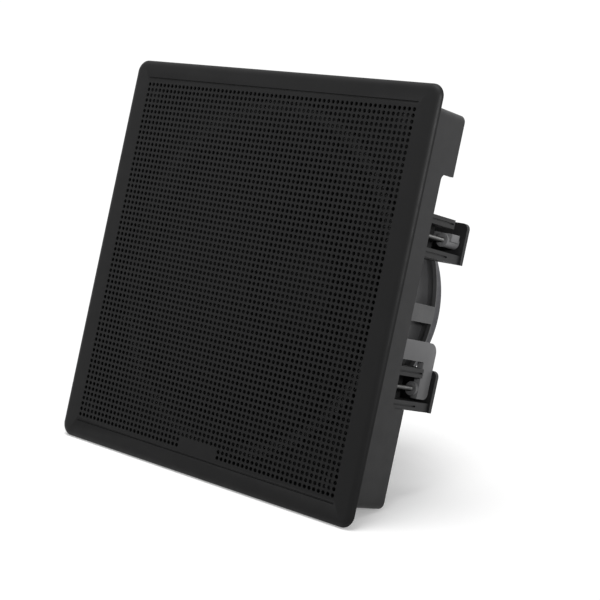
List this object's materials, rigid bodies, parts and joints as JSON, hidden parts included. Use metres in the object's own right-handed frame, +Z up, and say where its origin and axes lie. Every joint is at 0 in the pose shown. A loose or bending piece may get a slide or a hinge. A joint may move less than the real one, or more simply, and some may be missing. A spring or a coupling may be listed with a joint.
{
  "type": "flush-mount marine subwoofer",
  "caption": "Square flush-mount marine subwoofer with a perforated grille, a moulded housing with swing-out clamp dogs, and a spoked basket with its cone and magnet.",
  "frame": {"origin": "centre of the flange's back, on the wall's surface", "axes": "-Y out of the grille, +Y into the wall, +Z up, +X to the right as seen from the front"},
  "size_m": [0.284, 0.143, 0.284],
  "materials": {
    "housing_plastic": "fine moulded texture",
    "seal_rubber": "matt",
    "grille_paint": "fine powder coat",
    "magnet_epoxy": "black epoxy",
    "black_steel": "black oxide",
    "basket_coat": "satin coated casting",
    "screw_steel": "stainless",
    "cone_plastic": "moulded",
    "spider_cloth": "pressed and stiffened cloth",
    "former_foil": "plain foil",
    "coil_wire": "enamelled wire",
    "motor_paint": "electrophoretic coat",
    "ferrite": "ground and sealed",
    "board_plastic": "plain",
    "tab_metal": "tinned",
    "dog_plastic": "plain moulded"
  },
  "bodies": {
    "housing": {"housing": "housing_plastic", "flange_seal": "seal_rubber", "grille_magnets": "magnet_epoxy", "driver_gasket": "seal_rubber", "basket": "basket_coat", "driver_screws": "black_steel", "surround": "seal_rubber", "spider": "spider_cloth", "top_plate": "motor_paint", "magnet": "ferrite", "yoke": "motor_paint", "terminal_board": "board_plastic", "terminal_positive": "tab_metal", "terminal_negative": "tab_metal"},
    "grille": {"grille": "grille_paint"},
    "cone": {"cone": "cone_plastic", "dust_cap": "cone_plastic", "coil_former": "former_foil", "voice_coil": "coil_wire"},
    "clamp_upper_right": {"clamp_dog_upper_right": "dog_plastic", "clamp_screw_upper_right": "screw_steel", "clamp_clip_upper_right": "screw_steel"},
    "clamp_lower_right": {"clamp_dog_lower_right": "dog_plastic", "clamp_screw_lower_right": "screw_steel", "clamp_clip_lower_right": "screw_steel"},
    "clamp_upper_left": {"clamp_dog_upper_left": "dog_plastic", "clamp_screw_upper_left": "screw_steel", "clamp_clip_upper_left": "screw_steel"},
    "clamp_lower_left": {"clamp_dog_lower_left": "dog_plastic", "clamp_screw_lower_left": "screw_steel", "clamp_clip_lower_left": "screw_steel"}
  },
  "joints": [
    {"name": "grille_pull", "type": "slide", "parent": "housing", "child": "grille", "axis": [0, -1, 0], "range_m": [0, 0.04]},
    {"name": "cone_excursion", "type": "slide", "parent": "housing", "child": "cone", "axis": [0, 1, 0], "range_m": [-0.008, 0.008], "stiffness_N_per_m": 3000, "deforming": ["surround", "spider"]},
    {"name": "clamp_swing_upper_right", "type": "hinge", "parent": "housing", "child": "clamp_upper_right", "pos_m": [0.1225, 0.05, 0.05], "axis": [0, 1, 0], "range_deg": [0, 180]},
    {"name": "clamp_swing_lower_right", "type": "hinge", "parent": "housing", "child": "clamp_lower_right", "pos_m": [0.1225, 0.05, -0.05], "axis": [0, 1, 0], "range_deg": [-90, 90]},
    {"name": "clamp_swing_upper_left", "type": "hinge", "parent": "housing", "child": "clamp_upper_left", "pos_m": [-0.1225, 0.05, 0.05], "axis": [0, 1, 0], "range_deg": [0, 180]},
    {"name": "clamp_swing_lower_left", "type": "hinge", "parent": "housing", "child": "clamp_lower_left", "pos_m": [-0.1225, 0.05, -0.05], "axis": [0, 1, 0], "range_deg": [0, 180]}
  ]
}
